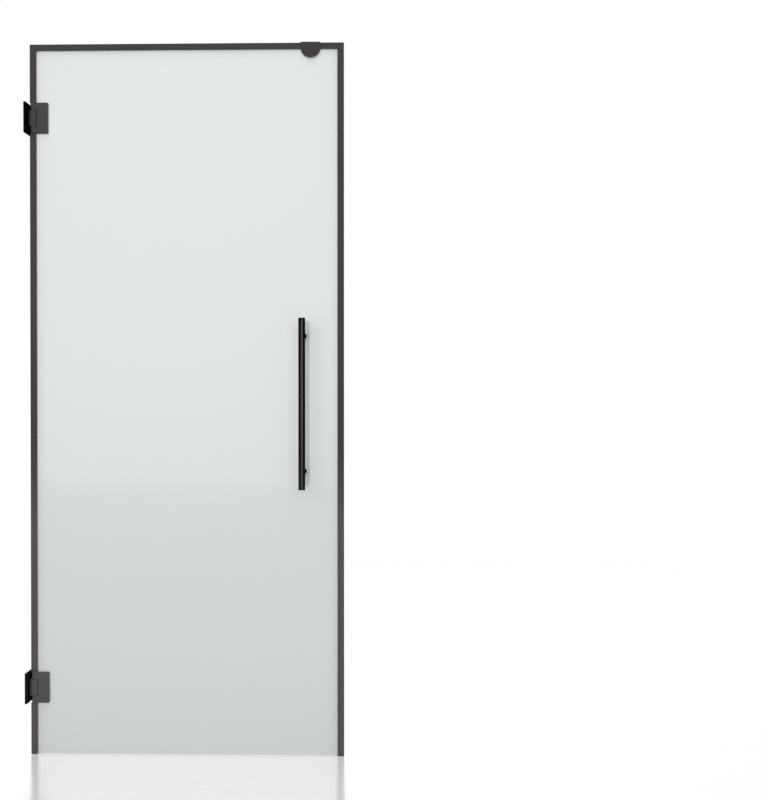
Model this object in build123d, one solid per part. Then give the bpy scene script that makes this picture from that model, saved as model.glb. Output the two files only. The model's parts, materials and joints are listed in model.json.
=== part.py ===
from build123d import *
import math
import os

# Glass door with a slim metal edge profile, hung from a side wall on two glass-to-wall hinges.
# All sizes are in millimetres. X runs from the wall along the closed leaf, Y from the side of the
# door stop to the side the leaf opens to, and Z up. The origin is the middle of the lower hinge's
# wall plate, on the face that lies against the wall, and Y = 0 is the middle of the glass.

# Leaf
leaf_width = 902.0
leaf_height = 2040.0
lower_hinge_height = 193.0
upper_hinge_height = 1829.0
glass_thickness = 8.0
glass_edge_chamfer = 0.8

# Edge profile, a channel on three sides of the glass, and the soft strip inside it
profile_face = 18.0
profile_thickness = 17.0
profile_leg = 2.0
profile_web = 2.5
profile_edge_round = 0.9
strip_web = 2.0
strip_setback = 0.6

# Hinges: plate on the wall, knuckle block on the plate, clamp plates either side of the glass
hinge_height = 88.0
wall_plate_width = 54.0
wall_plate_thickness = 6.0
wall_plate_bevel = 1.0
plate_corner_radius = 2.5
plate_to_leaf = 5.5
leaf_edge_to_axis = 7.7
knuckle_radius = 12.0
knuckle_height = 46.0
knuckle_bevel = 0.6
knuckle_corner_round = 1.2
knuckle_waist = 5.0
notch_height = 48.0
notch_gap = 2.0
clamp_setback = 2.5
clamp_width = 50.0
clamp_bevel = 1.5
clamp_wall_bevel = 3.2
clamp_gasket = 1.0
cutout_depth = 38.0
cutout_height = 74.0
cutout_radius = 8.0
pad_clearance = 1.0
profile_cut_gap = 0.5

# Hinge pin and its bushes
pin_radius = 4.0
pin_end_gap = 0.5
pin_bevel = 0.6
pin_seat_clearance = 0.02
bush_clearance = 0.05
bush_wall = 1.5
bush_length = 10.0
bush_flange_radius = 8.0
bush_flange = 0.7
block_bore_clearance = 0.5

# Screws of the hinges
wall_hole_radius = 2.75
wall_hole_sink_radius = 5.25
wall_hole_across = 39.0
wall_hole_up = 56.0
block_screw_radius = 2.5
block_screw_head_radius = 4.6
block_screw_spacing = 26.0
block_screw_reach = 6.0
clamp_screw_radius = 3.0
clamp_screw_head_radius = 5.8
clamp_screw_from_notch = 8.0
clamp_screw_spacing = 54.0
clamp_screw_reach = 4.8
pin_screw_radius = 2.5
pin_screw_length = 6.0
thread_play = 0.05
head_sink = 0.2

# Bar handle, one bar on each face
handle_to_free_edge = 114.0
handle_mid_height = 1010.0
bar_radius = 9.5
bar_length = 482.0
bar_bevel = 0.8
bar_to_glass = 64.4
standoff_spacing = 386.0
standoff_radius = 7.75
standoff_bevel = 0.5
spigot_radius = 4.0
spigot_reach = 5.0
sleeve_flange = 1.0
sleeve_play = 0.1
glass_hole_radius = 6.0
stud_radius = 4.0
stud_reach = 12.0
bore_margin = 1.5
standoff_screw_radius = 2.5
standoff_screw_offset = 7.0

# Door stop under the head of the opening
stop_to_free_edge = 95.0
stop_radius = 28.0
stop_drop = 42.9
stop_plate = 1.6
stop_bend_radius = 2.8
stop_foot_depth = 28.0
stop_foot_corner = 8.0
stop_head_gap = 0.4
buffer_thickness = 1.5
buffer_gap = 0.3
buffer_margin = 4.0
buffer_rise = 8.0
buffer_bevel = 0.4
stop_hole_radius = 2.25
stop_hole_sink_radius = 3.8
stop_hole_spacing = 32.0
stop_hole_from_front = 17.0

# Hexagon sockets of the screws
socket_across_flats = 2.5
socket_depth = 1.8
large_socket_across_flats = 4.0
large_socket_depth = 2.4

# Places worked out from the sizes above
half_glass = glass_thickness / 2
half_profile = profile_thickness / 2
leaf_left = wall_plate_thickness + plate_to_leaf
leaf_right = leaf_left + leaf_width
leaf_bottom = -lower_hinge_height
leaf_top = leaf_bottom + leaf_height
glass_inset = profile_web + strip_web
glass_left = leaf_left + glass_inset
glass_right = leaf_right - glass_inset
glass_top = leaf_top - glass_inset
axis_x = leaf_left + leaf_edge_to_axis
clamp_left = leaf_left + clamp_setback
clamp_right = clamp_left + clamp_width
clamp_inner = half_glass + clamp_gasket
clamp_outer = knuckle_radius
notch_right = axis_x + knuckle_radius + notch_gap
cutout_right = leaf_left + cutout_depth
pad_right = cutout_right - pad_clearance
pad_height = cutout_height - 2 * pad_clearance
clamp_screw_x = notch_right + clamp_screw_from_notch
bush_outer_radius = pin_radius + bush_clearance + bush_wall
handle_x = leaf_right - handle_to_free_edge
handle_z = leaf_bottom + handle_mid_height
stop_x = leaf_right - stop_to_free_edge
hinge_levels = {"lower": 0.0, "upper": upper_hinge_height - lower_hinge_height}
standoff_levels = {"lower": handle_z - standoff_spacing / 2, "upper": handle_z + standoff_spacing / 2}
through = 100.0


def save(name, shape):
    # one file for each piece, or for each group of like fasteners
    export_step(shape, f"parts/{name}.step")


def slab(sketch, y_from, y_to):
    # gives a sketch drawn in X and Z its thickness between two Y values
    plane = Plane(origin=(0, y_to, 0), x_dir=(1, 0, 0), z_dir=(0, -1, 0))
    return extrude(plane * sketch, amount=y_to - y_from)


def rectangle(x_from, x_to, z_from, z_to):
    centre = ((x_from + x_to) / 2, (z_from + z_to) / 2)
    return Pos(*centre) * Rectangle(x_to - x_from, z_to - z_from)


def rod_x(radius, x_from, x_to, y, z):
    return Pos((x_from + x_to) / 2, y, z) * Rot(0, 90, 0) * Cylinder(radius, x_to - x_from)


def rod_y(radius, y_from, y_to, x, z):
    return Pos(x, (y_from + y_to) / 2, z) * Rot(90, 0, 0) * Cylinder(radius, abs(y_to - y_from))


def rod_z(radius, z_from, z_to, x, y):
    return Pos(x, y, (z_from + z_to) / 2) * Cylinder(radius, z_to - z_from)


def countersunk(radius, head_radius, length):
    # a screw or its hole, head face at Z = 0 and shank down: a 90 degree cone on a plain shank
    cone_height = head_radius - radius
    cone = Pos(0, 0, -cone_height / 2) * Cone(radius, head_radius, cone_height)
    return cone + Pos(0, 0, -length / 2) * Cylinder(radius, length)


def hexagon_socket(across_flats, depth):
    # a socket cut from Z = 0 down
    return extrude(RegularPolygon(across_flats / 2, 6, major_radius=False), amount=-depth)


def headed_screw(radius, head_radius, length):
    body = countersunk(radius, head_radius, length)
    body = body - hexagon_socket(large_socket_across_flats, large_socket_depth)
    return chamfer(body.edges().group_by(Axis.Z)[0], radius / 4)


def grub_screw(radius, length, depth):
    body = Pos(0, 0, -length / 2) * Cylinder(radius, length)
    body = body - hexagon_socket(socket_across_flats, depth)
    return chamfer(body.edges().group_by(Axis.Z)[0], radius / 6)


def face_towards(direction, x, y, z):
    # turns something made along Z so that its top faces along X, Y or Z, then places it
    turns = {"-x": Rot(0, -90, 0), "+y": Rot(-90, 0, 0), "-z": Rot(180, 0, 0)}
    return Pos(x, y, z) * turns[direction]


def channel_section(depth, thickness, web, slot, round_radius=0.0):
    # section of a channel with its back at X = 0, opening towards +X
    outer = Pos(depth / 2, 0) * Rectangle(depth, thickness)
    if round_radius:
        outer = fillet(outer.vertices(), round_radius)
    return outer - Pos(web + depth / 2, 0) * Rectangle(depth, slot)


def channel_up(section, x, z_from, z_to, turned):
    # an upright run of a channel, opening towards +X, or towards -X when turned
    return Pos(x, 0, z_from) * Rot(0, 0, 180 if turned else 0) * extrude(section, amount=z_to - z_from)


def channel_across(section, z, x_from, x_to):
    # a level run of a channel, opening downwards
    plane = Plane(origin=(x_from, 0, z), x_dir=(0, 0, -1), z_dir=(1, 0, 0))
    return extrude(plane * section, amount=x_to - x_from)


def mitred_outline(side):
    # face outline of one run of the frame, cut at 45 degrees at the two top corners
    f = profile_face
    outlines = {
        "hinge": [(leaf_left, leaf_bottom), (leaf_left, leaf_top),
                  (leaf_left + f, leaf_top - f), (leaf_left + f, leaf_bottom)],
        "handle": [(leaf_right, leaf_bottom), (leaf_right, leaf_top),
                   (leaf_right - f, leaf_top - f), (leaf_right - f, leaf_bottom)],
        "top": [(leaf_left, leaf_top), (leaf_right, leaf_top),
                (leaf_right - f, leaf_top - f), (leaf_left + f, leaf_top - f)],
    }
    return make_face(Polyline(*outlines[side], close=True))


def frame_runs(section, inset):
    # the three sides of the frame made from one section, whose back lies inset from the leaf's edge
    runs = {
        "hinge_side": channel_up(section, leaf_left + inset, leaf_bottom, leaf_top, False),
        "handle_side": channel_up(section, leaf_right - inset, leaf_bottom, leaf_top, True),
        "top": channel_across(section, leaf_top - inset, leaf_left, leaf_right),
    }
    for name, run in runs.items():
        limits = slab(mitred_outline(name.split("_")[0]), -profile_thickness, profile_thickness)
        runs[name] = run & limits
    return runs


def hinge_side_lengths():
    # the hinge side is cut away at both clamps, which leaves three lengths
    reach = hinge_height / 2 + profile_cut_gap
    stops = [leaf_bottom, hinge_levels["lower"] - reach, hinge_levels["lower"] + reach,
             hinge_levels["upper"] - reach, hinge_levels["upper"] + reach, leaf_top]
    return {"lower": stops[0:2], "middle": stops[2:4], "upper": stops[4:6]}


def save_frame():
    slot = profile_thickness - 2 * profile_leg
    profile = channel_section(profile_face, profile_thickness, profile_web, slot, profile_edge_round)
    strip_depth = profile_face - profile_web - strip_setback
    strip = channel_section(strip_depth, slot, strip_web, glass_thickness)
    for kind, section, inset in (("profile", profile, 0.0), ("strip", strip, profile_web)):
        runs = frame_runs(section, inset)
        save(f"top_{kind}", runs["top"])
        save(f"handle_side_{kind}", runs["handle_side"])
        for name, (z_from, z_to) in hinge_side_lengths().items():
            window = slab(rectangle(leaf_left, leaf_left + profile_face, z_from, z_to),
                          -profile_thickness, profile_thickness)
            save(f"hinge_side_{name}_{kind}", runs["hinge_side"] & window)


def cutout_outline(level):
    # the notch cut in from the glass edge for one hinge, its two inner corners rounded
    outline = rectangle(leaf_left - cutout_depth, cutout_right,
                        level - cutout_height / 2, level + cutout_height / 2)
    return fillet(outline.vertices(), cutout_radius)


def glass_pane():
    outline = rectangle(glass_left, glass_right, leaf_bottom, glass_top)
    for level in hinge_levels.values():
        outline -= cutout_outline(level)
    for level in standoff_levels.values():
        outline -= Pos(handle_x, level) * Circle(glass_hole_radius)
    pane = slab(outline, -half_glass, half_glass)
    bottom_edges = pane.edges().filter_by(Axis.X).group_by(Axis.Z)[0]
    return chamfer(bottom_edges, glass_edge_chamfer)


def clamp_outline(level, inset=0.0):
    # face of a clamp plate: a rounded rectangle with the knuckle's notch in its wall side
    half = hinge_height / 2 - inset
    plate = rectangle(clamp_left + inset, clamp_right - inset, level - half, level + half)
    plate = fillet(plate.vertices(), plate_corner_radius)
    return plate - rectangle(clamp_left - 1, notch_right + inset,
                             level - notch_height / 2 - inset, level + notch_height / 2 + inset)


def bevelled_clamp_plate(level, side):
    # side is -1 at the front and 1 at the back; the edges of the outer face are bevelled
    y_from, y_to = sorted((side * clamp_inner, side * clamp_outer))
    plate = slab(clamp_outline(level), y_from, y_to)
    face = plate.faces().sort_by(Axis.Y)[-1 if side > 0 else 0]
    rim = [e for e in face.edges() if not on_notch(e, level)]
    return chamfer(rim, clamp_bevel) - wall_side_cut(level, side)


def wall_side_cut(level, side):
    # prism that takes the outer edge off a clamp plate where it turns past the wall plate
    b = clamp_wall_bevel
    corner = make_face(Polyline((clamp_left - b, side * (clamp_outer - 2 * b)),
                                (clamp_left + 2 * b, side * (clamp_outer + b)),
                                (clamp_left - b, side * (clamp_outer + b)), close=True))
    half = hinge_height / 2 + b
    return Pos(0, 0, level) * extrude(corner, amount=half, both=True)


def on_notch(edge, level):
    # true for the edges around the knuckle's notch, which stay sharp
    middle = edge.center()
    inside_height = abs(middle.Z - level) < notch_height / 2 + 0.1
    return inside_height and middle.X < notch_right + 0.1


def clamp_screw_levels(level):
    return (level - clamp_screw_spacing / 2, level + clamp_screw_spacing / 2)


def ear_levels(level):
    # middle height of the ear above the knuckle and of the one below it
    offset = (notch_height + pad_height) / 4
    return (level - offset, level + offset)


def front_clamp(level):
    clamp = bevelled_clamp_plate(level, -1)
    tip = -clamp_inner - clamp_screw_reach - thread_play
    for z in clamp_screw_levels(level):
        clamp -= rod_y(clamp_screw_radius + thread_play, tip, -clamp_inner, clamp_screw_x, z)
    return clamp


def back_clamp(level):
    # plate with a raised pad that fills the glass cut-out and carries the two ears of the pin
    clamp = bevelled_clamp_plate(level, 1)
    pad = rectangle(clamp_left, pad_right, level - pad_height / 2, level + pad_height / 2)
    pad = fillet(pad.vertices().group_by(Axis.X)[-1], cutout_radius)
    pad -= rectangle(clamp_left - 1, notch_right, level - notch_height / 2, level + notch_height / 2)
    clamp += slab(pad, -clamp_inner, clamp_inner)
    clamp -= rod_z(pin_radius + pin_seat_clearance, level - through, level + through, axis_x, 0)
    for z in clamp_screw_levels(level):
        hole = countersunk(clamp_screw_radius + 4 * thread_play, clamp_screw_head_radius, through)
        clamp -= face_towards("+y", clamp_screw_x, clamp_outer, z) * hole
    for z in ear_levels(level):
        clamp -= rod_y(pin_screw_radius + thread_play, 0, through, axis_x, z)
    return clamp


def clamp_gasket_sheet(level, side):
    # thin sheet between a clamp plate and the glass, round the cut-out
    outline = clamp_outline(level, strip_setback) - cutout_outline(level)
    y_from, y_to = sorted((side * half_glass, side * clamp_inner))
    return slab(outline, y_from, y_to)


def clamp_screws(level):
    length = clamp_outer + clamp_inner + clamp_screw_reach - head_sink
    screw = headed_screw(clamp_screw_radius, clamp_screw_head_radius - head_sink, length)
    return [face_towards("+y", clamp_screw_x, clamp_outer - head_sink, z) * screw
            for z in clamp_screw_levels(level)]


def pin_screws(level):
    screw = grub_screw(pin_screw_radius, pin_screw_length, socket_depth)
    head = pin_radius + thread_play + pin_screw_length
    return [face_towards("+y", axis_x, head, z) * screw for z in ear_levels(level)]


def hinge_pin(level):
    half = pad_height / 2 - pin_end_gap
    pin = rod_z(pin_radius, level - half, level + half, axis_x, 0)
    return chamfer(pin.edges().filter_by(GeomType.CIRCLE), pin_bevel)


def wall_hole_places(level):
    return [(side * wall_hole_across / 2, level + up * wall_hole_up / 2)
            for side in (-1, 1) for up in (-1, 1)]


def block_screw_levels(level):
    return (level - block_screw_spacing / 2, level + block_screw_spacing / 2)


def wall_plate(level):
    plate = Pos(wall_plate_thickness / 2, 0, level) * Box(
        wall_plate_thickness, wall_plate_width, hinge_height)
    plate = fillet(plate.edges().filter_by(Axis.X), plate_corner_radius)
    plate = chamfer(plate.faces().sort_by(Axis.X)[-1].edges(), wall_plate_bevel)
    for y, z in wall_hole_places(level):
        hole = countersunk(wall_hole_radius, wall_hole_sink_radius, through)
        plate -= Pos(wall_plate_thickness, y, z) * Rot(0, 90, 0) * hole
    for z in block_screw_levels(level):
        hole = countersunk(block_screw_radius + 4 * thread_play, block_screw_head_radius, through)
        plate -= face_towards("-x", 0, 0, z) * hole
    return plate


def knuckle_section():
    # flat and square at the front, round about the axis at the back, where the clamps turn past it,
    # and narrowed to a waist at the wall plate
    section = Pos((wall_plate_thickness + axis_x) / 2, 0) * Rectangle(
        axis_x - wall_plate_thickness, 2 * knuckle_radius)
    section += Pos(axis_x, 0) * Circle(knuckle_radius)
    section += Pos(axis_x + knuckle_radius / 2, -knuckle_radius / 2) * Rectangle(
        knuckle_radius, knuckle_radius)
    front_corner = section.vertices().sort_by(lambda v: v.X - v.Y)[-1]
    section = fillet(front_corner, knuckle_corner_round)
    return chamfer(section.vertices().group_by(Axis.X)[0], knuckle_waist)


def hinge_block(level):
    half = knuckle_height / 2
    block = Pos(0, 0, level - half) * extrude(knuckle_section(), amount=knuckle_height)
    ends = block.faces().filter_by(Axis.Z).edges()
    block = chamfer([e for e in ends if e.center().X > wall_plate_thickness + 0.1], knuckle_bevel)
    bore = pin_radius + block_bore_clearance
    block -= rod_z(bore, level - half, level + half, axis_x, 0)
    for end in (-1, 1):
        z_from, z_to = sorted((level + end * half, level + end * (half - bush_length)))
        block -= rod_z(bush_outer_radius, z_from, z_to, axis_x, 0)
    tip = wall_plate_thickness + block_screw_reach + thread_play
    for z in block_screw_levels(level):
        block -= rod_x(block_screw_radius + thread_play, 0, tip, 0, z)
    return block


def hinge_bushes(level):
    # plain bushes with a thin flange between the knuckle and each ear
    inner = pin_radius + bush_clearance
    body = Pos(0, 0, -bush_length / 2) * Cylinder(bush_outer_radius, bush_length)
    body += Pos(0, 0, bush_flange / 2) * Cylinder(bush_flange_radius, bush_flange)
    body -= Cylinder(inner, through)
    half = knuckle_height / 2
    return [Pos(axis_x, 0, level + half) * body, Pos(axis_x, 0, level - half) * Rot(180, 0, 0) * body]


def block_screws(level):
    length = wall_plate_thickness + block_screw_reach - head_sink
    screw = headed_screw(block_screw_radius, block_screw_head_radius - head_sink, length)
    return [face_towards("-x", head_sink, 0, z) * screw for z in block_screw_levels(level)]


def save_hinge(name, level):
    save(f"{name}_hinge_wall_plate", wall_plate(level))
    save(f"{name}_hinge_block", hinge_block(level))
    save(f"{name}_hinge_bushes", Compound(children=hinge_bushes(level)))
    save(f"{name}_hinge_block_screws", Compound(children=block_screws(level)))
    save(f"{name}_hinge_pin", hinge_pin(level))
    save(f"{name}_hinge_pin_screws", Compound(children=pin_screws(level)))
    save(f"{name}_hinge_front_clamp", front_clamp(level))
    save(f"{name}_hinge_back_clamp", back_clamp(level))
    save(f"{name}_hinge_front_gasket", clamp_gasket_sheet(level, -1))
    save(f"{name}_hinge_back_gasket", clamp_gasket_sheet(level, 1))
    save(f"{name}_hinge_clamp_screws", Compound(children=clamp_screws(level)))


def bar_centre(side):
    return side * (half_glass + bar_to_glass)


def handle_bar(side):
    # round bar with a blind hole for the spigot of each standoff
    y = bar_centre(side)
    bar = rod_z(bar_radius, handle_z - bar_length / 2, handle_z + bar_length / 2, handle_x, y)
    bar = chamfer(bar.edges().filter_by(GeomType.CIRCLE), bar_bevel)
    for z in standoff_levels.values():
        bar -= rod_y(spigot_radius, *spigot_span(side), handle_x, z)
    return bar


def spigot_span(side):
    # from inside the standoff to the end of the spigot in the bar
    surface = abs(bar_centre(side)) - bar_radius
    return sorted((side * (surface - spigot_reach), side * (surface + spigot_reach)))


def standoff(side, level):
    # turned post from the sleeve on the glass to the bar, its end hollowed to the bar's roundness
    foot = half_glass + sleeve_flange
    saddle = bar_radius - math.sqrt(bar_radius**2 - standoff_radius**2)
    tip = abs(bar_centre(side)) - bar_radius + saddle
    post = rod_y(standoff_radius, *sorted((side * foot, side * tip)), handle_x, level)
    foot_edge = post.edges().filter_by(GeomType.CIRCLE).sort_by(Axis.Y)[0 if side > 0 else -1]
    post = chamfer(foot_edge, standoff_bevel)
    post -= rod_z(bar_radius, level - through, level + through, handle_x, bar_centre(side))
    post += rod_y(spigot_radius, *spigot_span(side), handle_x, level)
    bore_end = foot + stud_reach + bore_margin
    post -= rod_y(stud_radius + thread_play, *sorted((side * foot, side * bore_end)), handle_x, level)
    if side > 0:
        y = foot + standoff_screw_offset
        post -= rod_z(standoff_screw_radius + thread_play, level - through, level, handle_x, y)
    return post


def standoff_screws():
    # small screws that lock the back posts on their studs, from below
    length = standoff_radius - stud_radius - thread_play
    screw = grub_screw(standoff_screw_radius, length, socket_depth)
    y = half_glass + sleeve_flange + standoff_screw_offset
    return [face_towards("-z", handle_x, y, level - standoff_radius) * screw
            for level in standoff_levels.values()]


def handle_sleeves(side):
    # flanged sleeves that keep the metal off the glass, half way through the hole from each face
    sleeves = []
    for level in standoff_levels.values():
        outer = half_glass + sleeve_flange
        flange = rod_y(standoff_radius, *sorted((side * half_glass, side * outer)), handle_x, level)
        collar = rod_y(glass_hole_radius - sleeve_play, *sorted((side * sleeve_play, side * outer)),
                       handle_x, level)
        bore = rod_y(stud_radius + sleeve_play, -through, through, handle_x, level)
        sleeves.append(flange + collar - bore)
    return sleeves


def handle_studs():
    reach = half_glass + sleeve_flange + stud_reach
    studs = []
    for level in standoff_levels.values():
        stud = rod_y(stud_radius, -reach, reach, handle_x, level)
        studs.append(chamfer(stud.edges().filter_by(GeomType.CIRCLE), pin_bevel))
    return studs


def save_handle():
    for name, side in (("front", -1), ("back", 1)):
        save(f"{name}_handle_bar", handle_bar(side))
        save(f"{name}_handle_sleeves", Compound(children=handle_sleeves(side)))
        for place, level in standoff_levels.items():
            save(f"{name}_{place}_standoff", standoff(side, level))
    save("handle_studs", Compound(children=handle_studs()))
    save("back_standoff_screws", Compound(children=standoff_screws()))


def stop_faces():
    # Y of the tongue's front and back faces, and Z of its lowest point, its foot's underside and top
    back = -half_profile - buffer_gap - buffer_thickness
    underside = leaf_top + stop_head_gap
    return back - stop_plate, back, leaf_top - stop_drop, underside, underside + stop_plate


def stop_bracket():
    # bent plate: a half-round tongue in front of the leaf and a foot over it, fixed to the head
    front, back, low, underside, top = stop_faces()
    foot_end = front + stop_foot_depth
    section = make_face(Polyline((front, low), (front, top), (foot_end, top), (foot_end, underside),
                                 (back, underside), (back, low), close=True))
    outer_corner = section.vertices().sort_by(lambda v: (v.X - front) ** 2 + (v.Y - top) ** 2)[0]
    section = fillet(outer_corner, stop_bend_radius)
    inner_corner = section.vertices().sort_by(lambda v: (v.X - back) ** 2 + (v.Y - underside) ** 2)[0]
    section = fillet(inner_corner, stop_bend_radius - stop_plate)
    side_plane = Plane(origin=(stop_x - stop_radius, 0, 0), x_dir=(0, 1, 0), z_dir=(1, 0, 0))
    bracket = extrude(side_plane * section, amount=2 * stop_radius)
    centre_z = low + stop_radius
    tongue = Pos(stop_x, centre_z) * Circle(stop_radius)
    tongue += rectangle(stop_x - stop_radius, stop_x + stop_radius, centre_z, top)
    bracket = bracket & slab(tongue, front, foot_end)
    far_corners = [e for e in bracket.edges().filter_by(Axis.Z) if e.center().Y > foot_end - 0.1]
    bracket = fillet(far_corners, stop_foot_corner)
    for side in (-1, 1):
        hole = countersunk(stop_hole_radius, stop_hole_sink_radius, through)
        x = stop_x + side * stop_hole_spacing / 2
        bracket -= face_towards("-z", x, front + stop_hole_from_front, underside) * hole
    return bracket


def stop_buffer():
    # soft pad on the back of the tongue, which the closed leaf comes to rest against
    _, back, low, _, _ = stop_faces()
    radius = stop_radius - buffer_margin
    centre_z = low + stop_radius
    outline = Pos(stop_x, centre_z) * Circle(radius)
    outline += rectangle(stop_x - radius, stop_x + radius, centre_z, centre_z + buffer_rise)
    outline -= rectangle(stop_x - radius, stop_x + radius, centre_z + buffer_rise, centre_z + 2 * radius)
    pad = slab(outline, back, back + buffer_thickness)
    return chamfer(pad.faces().sort_by(Axis.Y)[-1].edges(), buffer_bevel)


save("glass_pane", glass_pane())
save_frame()
for hinge_name, hinge_level in hinge_levels.items():
    save_hinge(hinge_name, hinge_level)
save_handle()
save("stop_bracket", stop_bracket())
save("stop_buffer", stop_buffer())
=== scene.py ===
import json
import math

import bmesh
import bpy
from mathutils import Matrix, Vector


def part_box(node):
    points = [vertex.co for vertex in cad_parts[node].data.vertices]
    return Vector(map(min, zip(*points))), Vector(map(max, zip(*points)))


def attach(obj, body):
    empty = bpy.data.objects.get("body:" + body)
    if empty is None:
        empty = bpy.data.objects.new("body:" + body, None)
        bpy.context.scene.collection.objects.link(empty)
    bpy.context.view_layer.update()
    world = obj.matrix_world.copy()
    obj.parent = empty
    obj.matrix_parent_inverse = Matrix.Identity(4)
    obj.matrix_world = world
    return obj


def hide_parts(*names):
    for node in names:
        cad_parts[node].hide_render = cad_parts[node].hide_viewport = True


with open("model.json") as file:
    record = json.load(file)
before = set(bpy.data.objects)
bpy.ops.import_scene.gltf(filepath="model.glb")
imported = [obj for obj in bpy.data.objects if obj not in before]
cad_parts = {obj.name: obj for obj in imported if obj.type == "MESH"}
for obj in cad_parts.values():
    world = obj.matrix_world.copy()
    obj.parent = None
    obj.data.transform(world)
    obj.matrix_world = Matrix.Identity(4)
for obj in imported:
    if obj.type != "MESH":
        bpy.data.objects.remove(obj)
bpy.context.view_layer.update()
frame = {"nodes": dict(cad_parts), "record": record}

mm = 0.001  # the frame is in metres, small sizes below are written in millimetres
sameWithin = 0.001 * mm  # two places this near count as one


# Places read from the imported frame

def boxOf(node):
    low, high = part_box(node)
    return Vector(low), Vector(high)


def middleOf(node):
    low, high = boxOf(node)
    return (low + high) / 2


leafLow = Vector((boxOf("hinge_side_middle_profile")[0].x, 0, boxOf("glass_pane")[0].z))
leafHigh = Vector((boxOf("handle_side_profile")[1].x, 0, boxOf("top_profile")[1].z))


# Camera, first of all

viewPoint = {
    "place": (1.0847, -2.7772, 0.8471),
    "turnLeft": 1.167,  # degrees away from square on to the closed leaf
    "tiltDown": 0.401,
    "focalPixels": 970.4,
    "frameHeight": 800,
    "sensorSize": 36.0,
    "farClip": 60,
}


def addCamera():
    data = bpy.data.cameras.new("viewCamera")
    data.sensor_width = viewPoint["sensorSize"]
    data.lens = viewPoint["focalPixels"] * viewPoint["sensorSize"] / viewPoint["frameHeight"]
    data.clip_end = viewPoint["farClip"]
    camera = bpy.data.objects.new("viewCamera", data)
    camera.location = viewPoint["place"]
    tilt = math.radians(90 - viewPoint["tiltDown"])
    camera.rotation_euler = (tilt, 0, math.radians(viewPoint["turnLeft"]))
    bpy.context.scene.collection.objects.link(camera)
    bpy.context.scene.camera = camera


addCamera()
print("camera placed")


# Shader helpers

def addNode(tree, kind, **values):
    node = tree.nodes.new(kind)
    for name, value in values.items():
        setattr(node, name, value)
    return node


def join(tree, start, end):
    tree.links.new(start, end)


def mathNode(tree, operation, first, second=None):
    # a Math node whose inputs are sockets or plain numbers
    node = addNode(tree, "ShaderNodeMath", operation=operation)
    for socket, value in zip(node.inputs, (first, second)):
        if value is None:
            continue
        if isinstance(value, (int, float)):
            socket.default_value = value
        else:
            join(tree, value, socket)
    return node.outputs[0]


def rampNode(tree, value, ends):
    # spreads 0..1 of a mask over the two ends
    node = addNode(tree, "ShaderNodeMapRange")
    node.inputs["To Min"].default_value, node.inputs["To Max"].default_value = ends
    join(tree, value, node.inputs["Value"])
    return node.outputs["Result"]


def newGroup(name, inputs, outputs):
    # an input without a default is a vector, all others are numbers
    group = bpy.data.node_groups.new(name, "ShaderNodeTree")
    for socketName, default in inputs.items():
        kind = "NodeSocketVector" if default is None else "NodeSocketFloat"
        socket = group.interface.new_socket(socketName, in_out="INPUT", socket_type=kind)
        if default is not None:
            socket.default_value = default
    for socketName in outputs:
        group.interface.new_socket(socketName, in_out="OUTPUT", socket_type="NodeSocketFloat")
    return group, group.nodes.new("NodeGroupInput"), group.nodes.new("NodeGroupOutput")


grainPattern = {"grainDetail": 2.0, "cloudDetail": 5.0, "cloudRange": (0.3, 0.7), "speckPower": 6.0}


def makeCoatGrain():
    # fine pebbling, slow clouds in the roughness, and painted light: the colour is made lighter towards
    # the floor, standing in for light from the pale floor
    inputs = {"Place": None, "Grain Scale": 900.0, "Cloud Scale": 14.0, "Rough Low": 0.38,
              "Rough High": 0.5, "Speck": 0.06, "Painted Floor Light": 0.0, "Painted Light Top": 0.72, "Painted Light Foot": 0.42}
    group, given, result = newGroup("coatGrain", inputs, ("Height", "Roughness", "Tone"))
    grain = addNode(group, "ShaderNodeTexNoise")
    grain.inputs["Detail"].default_value = grainPattern["grainDetail"]
    cloud = addNode(group, "ShaderNodeTexNoise")
    cloud.inputs["Detail"].default_value = grainPattern["cloudDetail"]
    for node, scale in ((grain, "Grain Scale"), (cloud, "Cloud Scale")):
        join(group, given.outputs["Place"], node.inputs["Vector"])
        join(group, given.outputs[scale], node.inputs["Scale"])
    rough = addNode(group, "ShaderNodeMapRange")
    rough.inputs["From Min"].default_value = grainPattern["cloudRange"][0]
    rough.inputs["From Max"].default_value = grainPattern["cloudRange"][1]
    join(group, cloud.outputs["Fac"], rough.inputs["Value"])
    join(group, given.outputs["Rough Low"], rough.inputs["To Min"])
    join(group, given.outputs["Rough High"], rough.inputs["To Max"])
    peak = mathNode(group, "POWER", grain.outputs["Fac"], grainPattern["speckPower"])
    speck = mathNode(group, "MULTIPLY", peak, given.outputs["Speck"])
    join(group, grain.outputs["Fac"], result.inputs["Height"])
    join(group, rough.outputs["Result"], result.inputs["Roughness"])
    split = addNode(group, "ShaderNodeSeparateXYZ")
    join(group, given.outputs["Place"], split.inputs[0])
    # painted light: a mask rising from 0 to 1 between two heights, going down towards the floor
    low = addNode(group, "ShaderNodeMapRange", interpolation_type="SMOOTHSTEP")
    join(group, split.outputs["Z"], low.inputs["Value"])
    join(group, given.outputs["Painted Light Top"], low.inputs["From Min"])
    join(group, given.outputs["Painted Light Foot"], low.inputs["From Max"])
    paintedLight = mathNode(group, "MULTIPLY", low.outputs["Result"], given.outputs["Painted Floor Light"])
    total = mathNode(group, "ADD", mathNode(group, "ADD", speck, paintedLight), 1.0)
    join(group, total, result.inputs["Tone"])
    return group


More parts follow.
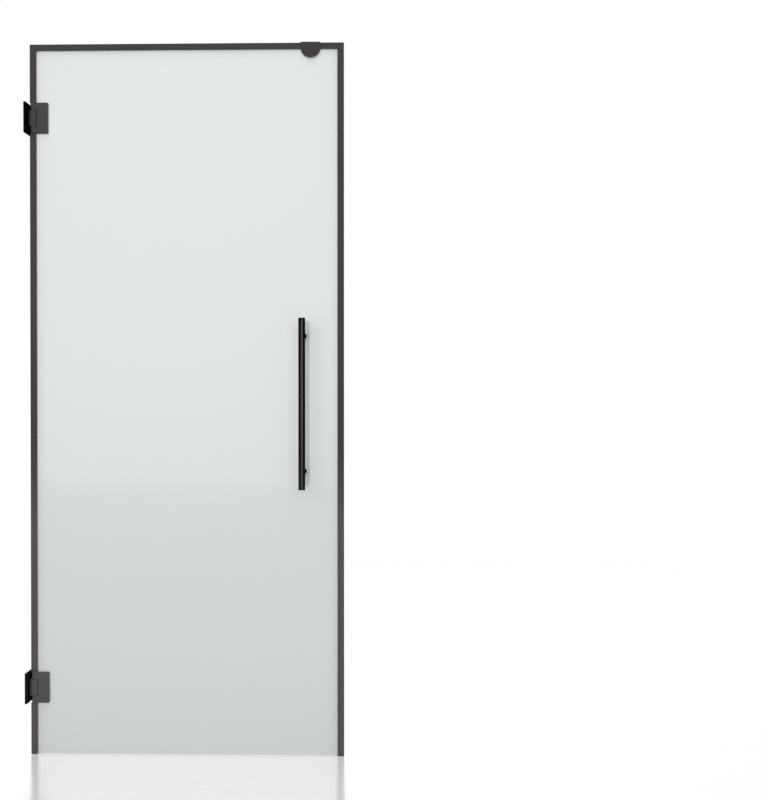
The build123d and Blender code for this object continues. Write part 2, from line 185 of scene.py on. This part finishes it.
def makeMarginShade():
    # painted shade: 1 in the middle of the pane, lower beside the edge profile on three sides, where the
    # profile shades the pane
    inputs = {"Place": None, "Left": 0.0, "Right": 1.0, "Top": 1.0, "Reach": 0.013, "Depth": 0.2}
    group, given, result = newGroup("marginShade", inputs, ("Shade",))
    split = addNode(group, "ShaderNodeSeparateXYZ")
    join(group, given.outputs["Place"], split.inputs[0])
    fromLeft = mathNode(group, "SUBTRACT", split.outputs["X"], given.outputs["Left"])
    fromRight = mathNode(group, "SUBTRACT", given.outputs["Right"], split.outputs["X"])
    fromTop = mathNode(group, "SUBTRACT", given.outputs["Top"], split.outputs["Z"])
    total = None
    for distance in (fromLeft, fromRight, fromTop):
        ratio = mathNode(group, "DIVIDE", distance, given.outputs["Reach"])
        fall = mathNode(group, "EXPONENT", mathNode(group, "MULTIPLY", ratio, -1.0))
        total = fall if total is None else mathNode(group, "ADD", total, fall)
    lost = mathNode(group, "MULTIPLY", total, given.outputs["Depth"])
    join(group, mathNode(group, "SUBTRACT", 1.0, lost), result.inputs["Shade"])
    return group


coatGrain = makeCoatGrain()
marginShade = makeMarginShade()


def newMaterial(name):
    material = bpy.data.materials.new(name)
    material.use_nodes = True
    tree = material.node_tree
    return material, tree, tree.nodes["Principled BSDF"]


def placeOn(tree):
    return addNode(tree, "ShaderNodeTexCoord").outputs["Object"]


def tinted(tree, colour, amount):
    # a colour times a value that changes over the surface
    node = addNode(tree, "ShaderNodeVectorMath", operation="SCALE")
    node.inputs[0].default_value = colour
    join(tree, amount, node.inputs["Scale"])
    return node.outputs[0]


def bumped(tree, shader, height, strength, distance):
    bump = addNode(tree, "ShaderNodeBump")
    bump.inputs["Strength"].default_value = strength
    bump.inputs["Distance"].default_value = distance
    join(tree, height, bump.inputs["Height"])
    join(tree, bump.outputs["Normal"], shader.inputs["Normal"])


def addLacquer(tree, shader, facts):
    # clear lacquer that shows where the coat faces the eye and fades as it turns away
    turned = addNode(tree, "ShaderNodeMapRange", interpolation_type="SMOOTHSTEP")
    turned.inputs["From Min"].default_value, turned.inputs["From Max"].default_value = facts["fade"]
    turned.inputs["To Min"].default_value = 1.0
    turned.inputs["To Max"].default_value = 0.0
    join(tree, addNode(tree, "ShaderNodeLayerWeight").outputs["Facing"], turned.inputs["Value"])
    join(tree, turned.outputs["Result"], shader.inputs["Coat Weight"])
    shader.inputs["Coat IOR"].default_value = facts["ior"]
    shader.inputs["Coat Roughness"].default_value = facts["roughness"]


# what a finish has where it says nothing else
finishBase = {"shine": 0.5, "metallic": 0.0, "paintedFloorLight": 0.0, "bumpReach": 0.4 * mm}

# painted light: some coats are painted up to 9 times lighter towards the floor, standing in for light from
# the pale floor
finishes = {
    "profileCoat": {"colour": (0.006, 0.006, 0.006), "roughness": (0.36, 0.46), "grain": 900.0,
                    "bump": 0.04, "shine": 0.69, "paintedFloorLight": 7.0},
    "hingeCoat": {"colour": (0.005, 0.005, 0.005), "roughness": (0.38, 0.48), "grain": 1100.0,
                  "bump": 0.04, "shine": 0.8, "paintedFloorLight": 8.0},
    "wallPlateCoat": {"colour": (0.004, 0.004, 0.004), "roughness": (0.46, 0.56), "grain": 1100.0,
                      "bump": 0.04, "shine": 0.0, "paintedFloorLight": 2.5},
    "handleCoat": {"colour": (0.004, 0.004, 0.004), "roughness": (0.11, 0.16), "grain": 1300.0,
                   "bump": 0.03, "shine": 0.0, "paintedFloorLight": 7.0,
                   "lacquer": {"fade": (0.0, 0.09), "ior": 1.75, "roughness": 0.13}},
    "stopCoat": {"colour": (0.005, 0.005, 0.005), "roughness": (0.36, 0.46), "grain": 1100.0,
                 "bump": 0.04, "shine": 0.62},
    "screwBlack": {"colour": (0.005, 0.005, 0.005), "roughness": (0.16, 0.24), "grain": 1600.0,
                   "bump": 0.03, "shine": 0.6, "paintedFloorLight": 1.0},
    "softRubber": {"colour": (0.022, 0.022, 0.022), "roughness": (0.6, 0.75), "grain": 700.0,
                   "bump": 0.2, "bumpReach": 0.3 * mm},
    "clearNylon": {"colour": (0.62, 0.64, 0.63), "roughness": (0.35, 0.45), "grain": 500.0,
                   "bump": 0.05, "bumpReach": 0.3 * mm},
    "bearingPlastic": {"colour": (0.05, 0.05, 0.05), "roughness": (0.4, 0.5), "grain": 800.0,
                       "bump": 0.05, "bumpReach": 0.3 * mm},
    "turnedSteel": {"colour": (0.55, 0.55, 0.56), "roughness": (0.22, 0.34), "grain": 1500.0,
                    "bump": 0.08, "bumpReach": 0.3 * mm, "metallic": 1.0},
}


def makeFinish(name):
    # one colour, broken up by fine grain, and painted lighter low down as painted light from the pale
    # floor
    facts = {**finishBase, **finishes[name]}
    material, tree, shader = newMaterial(name)
    group = addNode(tree, "ShaderNodeGroup", node_tree=coatGrain)
    join(tree, placeOn(tree), group.inputs["Place"])
    group.inputs["Grain Scale"].default_value = facts["grain"]
    group.inputs["Rough Low"].default_value, group.inputs["Rough High"].default_value = facts["roughness"]
    # painted light: the coat's colour is made lighter towards the floor
    group.inputs["Painted Floor Light"].default_value = facts["paintedFloorLight"]
    join(tree, tinted(tree, facts["colour"], group.outputs["Tone"]), shader.inputs["Base Color"])
    join(tree, group.outputs["Roughness"], shader.inputs["Roughness"])
    shader.inputs["Specular IOR Level"].default_value = facts["shine"]
    shader.inputs["Metallic"].default_value = facts["metallic"]
    if "lacquer" in facts:
        addLacquer(tree, shader, facts["lacquer"])
    bumped(tree, shader, group.outputs["Height"], facts["bump"], facts["bumpReach"])
    return material


paneLook = {
    "body": (0.735, 0.775, 0.765),
    "bodyRoughness": (0.5, 0.6),
    "etchScale": 1400.0,
    "drift": (0.99, 1.01),
    "driftScale": 2.5,
    "coatIor": 2.45,
    "coatRoughness": 0.05,
    # reach and depth of the painted shade beside the edge profile
    "marginReach": 13 * mm,
    "marginDepth": 0.2,
}


def makeSatinGlass():
    # milky pane with a smooth, clearly mirroring face
    material, tree, shader = newMaterial("satinGlass")
    place = placeOn(tree)
    # painted shade: the pane's colour is darkened by up to 20 % beside the edge profile
    margin = addNode(tree, "ShaderNodeGroup", node_tree=marginShade)
    join(tree, place, margin.inputs["Place"])
    margin.inputs["Left"].default_value = boxOf("hinge_side_middle_profile")[1].x
    margin.inputs["Right"].default_value = boxOf("handle_side_profile")[0].x
    margin.inputs["Top"].default_value = boxOf("top_profile")[0].z
    margin.inputs["Reach"].default_value = paneLook["marginReach"]
    margin.inputs["Depth"].default_value = paneLook["marginDepth"]
    cloud = addNode(tree, "ShaderNodeTexNoise")
    cloud.inputs["Scale"].default_value = paneLook["driftScale"]
    join(tree, place, cloud.inputs["Vector"])
    drift = rampNode(tree, cloud.outputs["Fac"], paneLook["drift"])
    shade = mathNode(tree, "MULTIPLY", margin.outputs["Shade"], drift)
    join(tree, tinted(tree, paneLook["body"], shade), shader.inputs["Base Color"])
    etch = addNode(tree, "ShaderNodeTexNoise")
    etch.inputs["Scale"].default_value = paneLook["etchScale"]
    join(tree, place, etch.inputs["Vector"])
    join(tree, rampNode(tree, etch.outputs["Fac"], paneLook["bodyRoughness"]), shader.inputs["Roughness"])
    shader.inputs["Specular IOR Level"].default_value = 0.0
    shader.inputs["Coat Weight"].default_value = 1.0
    shader.inputs["Coat IOR"].default_value = paneLook["coatIor"]
    shader.inputs["Coat Roughness"].default_value = paneLook["coatRoughness"]
    return material


materials = {name: makeFinish(name) for name in finishes}
materials["satinGlass"] = makeSatinGlass()
print("materials made")


# Which finish each slot of the record gets

slotFinish = {
    "satin_glass": "satinGlass", "edge_profile": "profileCoat", "hinge_coat": "hingeCoat",
    "handle_coat": "handleCoat", "stop_plate": "stopCoat", "dark_screw": "screwBlack",
    "bare_steel": "turnedSteel", "soft_strip": "softRubber", "soft_buffer": "softRubber",
    "bush": "bearingPlastic", "sleeve": "clearNylon",
}
nodeSlot = {part["node"]: part["material_slot"] for part in frame["record"]["subparts"]}
for node, thing in frame["nodes"].items():
    finish = materials[slotFinish[nodeSlot[node]]]
    for materialSlot in thing.material_slots:
        materialSlot.material = finish


# Pieces

meshCare = {
    "smoothAngle": 35,  # degrees, sharper edges are shaded hard
    "roundAngle": 25,  # degrees, sharper edges get a small round
    "roundSteps": 3,
    "mergeWithin": 0.004 * mm,
    "flatWithin": 0.5,  # degrees
}


def finishPiece(bm, name, replaced, finish=None):
    # turns a bmesh into a piece that stands for the given nodes of one body
    bmesh.ops.recalc_face_normals(bm, faces=bm.faces)
    mesh = bpy.data.meshes.new(name)
    bm.to_mesh(mesh)
    bm.free()
    mesh.shade_smooth()
    mesh.set_sharp_from_angle(angle=math.radians(meshCare["smoothAngle"]))
    piece = bpy.data.objects.new(name, mesh)
    bpy.context.scene.collection.objects.link(piece)
    slotName = nodeSlot[replaced[0]]
    mesh.materials.append(materials[finish or slotFinish[slotName]])
    bodies = frame["record"]["behaviour"]["bodies"]
    body = next(key for key, members in bodies.items() if replaced[0] in members)
    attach(piece, body)
    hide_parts(*replaced)
    return piece


def softenEdges(piece, width, segments=meshCare["roundSteps"]):
    bevel = piece.modifiers.new("softEdges", "BEVEL")
    bevel.width = width
    bevel.segments = segments
    bevel.limit_method = "ANGLE"
    bevel.angle_limit = math.radians(meshCare["roundAngle"])
    bevel.harden_normals = True


def cleanCopy(node):
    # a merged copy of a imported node, its flat faces joined up again
    bm = bmesh.new()
    bm.from_mesh(frame["nodes"][node].data)
    bmesh.ops.remove_doubles(bm, verts=bm.verts, dist=meshCare["mergeWithin"])
    bmesh.ops.dissolve_limit(bm, angle_limit=math.radians(meshCare["flatWithin"]), verts=bm.verts,
                             edges=bm.edges)
    return bm


# Handle: bar and posts on each face

bar = {"segments": 96, "endRound": 0.9 * mm, "endSteps": 4}


def makeBar(node, name):
    low, high = boxOf(node)
    bm = bmesh.new()
    radius = (high.x - low.x) / 2
    bmesh.ops.create_cone(bm, cap_ends=True, segments=bar["segments"], radius1=radius, radius2=radius,
                          depth=high.z - low.z)
    # the rims are the edges of the caps, the only faces with more than four corners
    rims = [edge for edge in bm.edges if any(len(face.verts) > 4 for face in edge.link_faces)]
    bmesh.ops.bevel(bm, geom=rims, offset=bar["endRound"], segments=bar["endSteps"], profile=0.5,
                    affect="EDGES", material=-1)
    bmesh.ops.translate(bm, verts=bm.verts, vec=middleOf(node))
    finishPiece(bm, name, [node])


makeBar("front_handle_bar", "frontBar")
makeBar("back_handle_bar", "backBar")

post = {"segments": 64, "footRound": 0.5 * mm, "footSteps": 3, "sinkIntoBar": 5.2 * mm}


def makePost(node, name, barNode):
    # made along Z, from the pane's face into the bar, then turned along Y
    low, high = boxOf(node)
    side = -1 if low.y < 0 else 1
    foot = min(abs(low.y), abs(high.y))
    barLow, barHigh = boxOf(barNode)
    tip = min(abs(barLow.y), abs(barHigh.y)) + post["sinkIntoBar"]
    radius = (high.x - low.x) / 2
    bm = bmesh.new()
    bmesh.ops.create_cone(bm, cap_ends=True, segments=post["segments"], radius1=radius, radius2=radius,
                          depth=tip - foot)
    bmesh.ops.translate(bm, verts=bm.verts, vec=(0, 0, (tip + foot) / 2))
    ring = [edge for edge in bm.edges
            if all(abs(corner.co.z - foot) < sameWithin for corner in edge.verts)]
    bmesh.ops.bevel(bm, geom=ring, offset=post["footRound"], segments=post["footSteps"], profile=0.5,
                    affect="EDGES", material=-1)
    turn = Matrix.Rotation(math.radians(90 * -side), 4, "X")
    middle = middleOf(node)
    bmesh.ops.transform(bm, verts=bm.verts, matrix=Matrix.Translation((middle.x, 0, middle.z)) @ turn)
    finishPiece(bm, name, [node])


for face in ("front", "back"):
    for level in ("lower", "upper"):
        makePost(f"{face}_{level}_standoff", f"{face}{level.title()}Post", f"{face}_handle_bar")
print("handles made")


# Edge profile: a channel in five lengths, mitred at the top corners

edgeChannel = {
    "leg": 2.0 * mm,
    "web": 2.5 * mm,
    "outerRound": 0.9 * mm,
    "outerSteps": 4,
    "cutRound": 0.25 * mm,
    "cutSteps": 2,
}


def channelBar(depth, thickness, length):
    # a channel along Z from 0 up, its back at X = 0 and its opening towards +X
    leg, web = edgeChannel["leg"], edgeChannel["web"]
    half, slot = thickness / 2, thickness / 2 - leg
    outline = [(0, -half), (depth, -half), (depth, -slot), (web, -slot),
               (web, slot), (depth, slot), (depth, half), (0, half)]
    bm = bmesh.new()
    corners = [bm.verts.new((x, y, 0)) for x, y in outline]
    section = bm.faces.new(corners)
    grown = bmesh.ops.extrude_face_region(bm, geom=[section])
    top = [item for item in grown["geom"] if isinstance(item, bmesh.types.BMVert)]
    bmesh.ops.translate(bm, verts=top, vec=(0, 0, length))
    long = [edge for edge in bm.edges if abs(edge.verts[0].co.z - edge.verts[1].co.z) > length / 2
            and abs(abs(edge.verts[0].co.y) - half) < sameWithin]
    bmesh.ops.bevel(bm, geom=long, offset=edgeChannel["outerRound"], segments=edgeChannel["outerSteps"],
                    profile=0.5, affect="EDGES", material=-1)
    return bm


def cutAway(bm, point, normal):
    # cuts off what lies on the normal's side of a plane and closes the cut
    whole = bm.verts[:] + bm.edges[:] + bm.faces[:]
    cut = bmesh.ops.bisect_plane(bm, geom=whole, plane_co=point, plane_no=normal, clear_outer=True)
    rim = [item for item in cut["geom_cut"] if isinstance(item, bmesh.types.BMEdge)]
    bmesh.ops.edgeloop_fill(bm, edges=rim)


def placeChannel(bm, node, name, matrix, mitres):
    bmesh.ops.transform(bm, verts=bm.verts, matrix=matrix)
    for point, normal in mitres:
        cutAway(bm, point, normal)
    softenEdges(finishPiece(bm, name, [node]), edgeChannel["cutRound"], edgeChannel["cutSteps"])


leftCorner = ((leafLow.x, 0, leafHigh.z), (1, 0, 1))
rightCorner = ((leafHigh.x, 0, leafHigh.z), (-1, 0, 1))
for level in ("lower", "middle", "upper"):
    node = f"hinge_side_{level}_profile"
    low, high = boxOf(node)
    placeChannel(channelBar(high.x - low.x, high.y - low.y, high.z - low.z), node,
                 f"hingeSide{level.title()}Channel", Matrix.Translation((low.x, 0, low.z)),
                 [leftCorner] if level == "upper" else [])
low, high = boxOf("handle_side_profile")
placeChannel(channelBar(high.x - low.x, high.y - low.y, high.z - low.z), "handle_side_profile",
             "handleSideChannel",
             Matrix.Translation((high.x, 0, low.z)) @ Matrix.Rotation(math.radians(180), 4, "Z"),
             [rightCorner])
low, high = boxOf("top_profile")
placeChannel(channelBar(high.z - low.z, high.y - low.y, high.x - low.x), "top_profile", "topChannel",
             Matrix.Translation((low.x, 0, high.z)) @ Matrix.Rotation(math.radians(90), 4, "Y"),
             [(leftCorner[0], (-1, 0, -1)), (rightCorner[0], (1, 0, -1))])
print("edge profile made")


# Hinges and stop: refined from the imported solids, with small rounds on every edge

hinge = {"parts": ("front_clamp", "back_clamp", "wall_plate", "block"), "edgeRound": 0.3 * mm}
stop = {"bracketRound": 0.3 * mm, "bufferRound": 0.15 * mm}


def refinePiece(node, name, width, finish=None):
    softenEdges(finishPiece(cleanCopy(node), name, [node], finish), width)


for level in ("lower", "upper"):
    for part in hinge["parts"]:
        words = "".join(word.title() for word in part.split("_"))
        refinePiece(f"{level}_hinge_{part}", f"{level}Hinge{words}", hinge["edgeRound"],
                    "wallPlateCoat" if part == "wall_plate" else None)
refinePiece("stop_bracket", "stopBracket", stop["bracketRound"])
refinePiece("stop_buffer", "stopBuffer", stop["bufferRound"])
print("hinges and stop made")


# Studio: pale floor, white surround, soft lamps

studio = {
    "floorGap": 2 * mm,
    "floorNear": -8.25,
    "floorFar": 12.0,
    "floorSide": 14.0,
    "floorColour": (0.86, 0.86, 0.86, 1),
    "floorRoughness": 0.16,
    "floorMetallic": 0.7,
    "floorShare": 0.25,
    "floorGlow": (0.72, 1.55),  # as mirrored, and as the camera sees it
    "fillStrength": 0.30,
    "lamps": [
        {"name": "frontPanel", "place": (0.46, -2.3, 1.5), "aim": (0.46, 0, 1.4),
         "size": (3.6, 1.6), "power": 37},
        {"name": "backPanel", "place": (0.46, 2.6, 1.7), "aim": (0.46, 0, 1.2),
         "size": (3.6, 1.6), "power": 40},
        {"name": "topPanel", "place": (0.46, -1.2, 4.2), "aim": (0.46, -0.2, 0.0),
         "size": (3.0, 2.0), "power": 31},
    ],
}


def seenRays(tree):
    # 1 for what the camera, a mirror or clear glass sees, 0 for soft light
    path = addNode(tree, "ShaderNodeLightPath")
    seen = mathNode(tree, "MAXIMUM", path.outputs["Is Camera Ray"], path.outputs["Is Glossy Ray"])
    return mathNode(tree, "MAXIMUM", seen, path.outputs["Is Transmission Ray"])


def floorMesh():
    near, far = studio["floorNear"], studio["floorFar"]
    bm = bmesh.new()
    # a square of one metre, stretched to the floor's size
    bmesh.ops.create_grid(bm, x_segments=1, y_segments=1, size=0.5)
    bmesh.ops.scale(bm, verts=bm.verts, vec=(studio["floorSide"], far - near, 1))
    bmesh.ops.translate(bm, verts=bm.verts, vec=((leafLow.x + leafHigh.x) / 2, (far + near) / 2,
                                                 leafLow.z - studio["floorGap"]))
    mesh = bpy.data.meshes.new("paleFloor")
    bm.to_mesh(mesh)
    bm.free()
    return mesh


def makePaleFloor():
    # a soft mirror, mixed with a glow that only seen rays meet
    material, tree, shader = newMaterial("paleFloor")
    shader.inputs["Base Color"].default_value = studio["floorColour"]
    shader.inputs["Roughness"].default_value = studio["floorRoughness"]
    shader.inputs["Metallic"].default_value = studio["floorMetallic"]
    glow = addNode(tree, "ShaderNodeEmission")
    path = addNode(tree, "ShaderNodeLightPath")
    join(tree, rampNode(tree, path.outputs["Is Camera Ray"], studio["floorGlow"]), glow.inputs["Strength"])
    mix = addNode(tree, "ShaderNodeMixShader")
    join(tree, mathNode(tree, "MULTIPLY", seenRays(tree), studio["floorShare"]), mix.inputs[0])
    join(tree, shader.outputs[0], mix.inputs[1])
    join(tree, glow.outputs[0], mix.inputs[2])
    join(tree, mix.outputs[0], tree.nodes["Material Output"].inputs["Surface"])
    return material


def addFloor():
    mesh = floorMesh()
    floor = bpy.data.objects.new("paleFloor", mesh)
    bpy.context.scene.collection.objects.link(floor)
    mesh.materials.append(makePaleFloor())


def addWorld():
    world = bpy.data.worlds.new("whiteSurround")
    world.use_nodes = True
    bpy.context.scene.world = world
    tree = world.node_tree
    fill = tree.nodes["Background"]
    fill.inputs["Color"].default_value = (1, 1, 1, 1)
    fill.inputs["Strength"].default_value = studio["fillStrength"]
    white = addNode(tree, "ShaderNodeBackground")
    white.inputs["Color"].default_value = (1, 1, 1, 1)
    mix = addNode(tree, "ShaderNodeMixShader")
    join(tree, seenRays(tree), mix.inputs[0])
    join(tree, fill.outputs[0], mix.inputs[1])
    join(tree, white.outputs[0], mix.inputs[2])
    join(tree, mix.outputs[0], tree.nodes["World Output"].inputs["Surface"])


def addLamp(facts):
    data = bpy.data.lights.new(facts["name"], "AREA")
    data.shape = "RECTANGLE"
    data.size, data.size_y = facts["size"]
    data.energy = facts["power"]
    lamp = bpy.data.objects.new(facts["name"], data)
    lamp.visible_glossy = False
    place = Vector(facts["place"])
    lamp.location = place
    lamp.rotation_euler = (Vector(facts["aim"]) - place).to_track_quat("-Z", "Y").to_euler()
    bpy.context.scene.collection.objects.link(lamp)


addFloor()
addWorld()
for lampFacts in studio["lamps"]:
    addLamp(lampFacts)
bpy.context.scene.view_settings.view_transform = "Standard"
print("studio made")
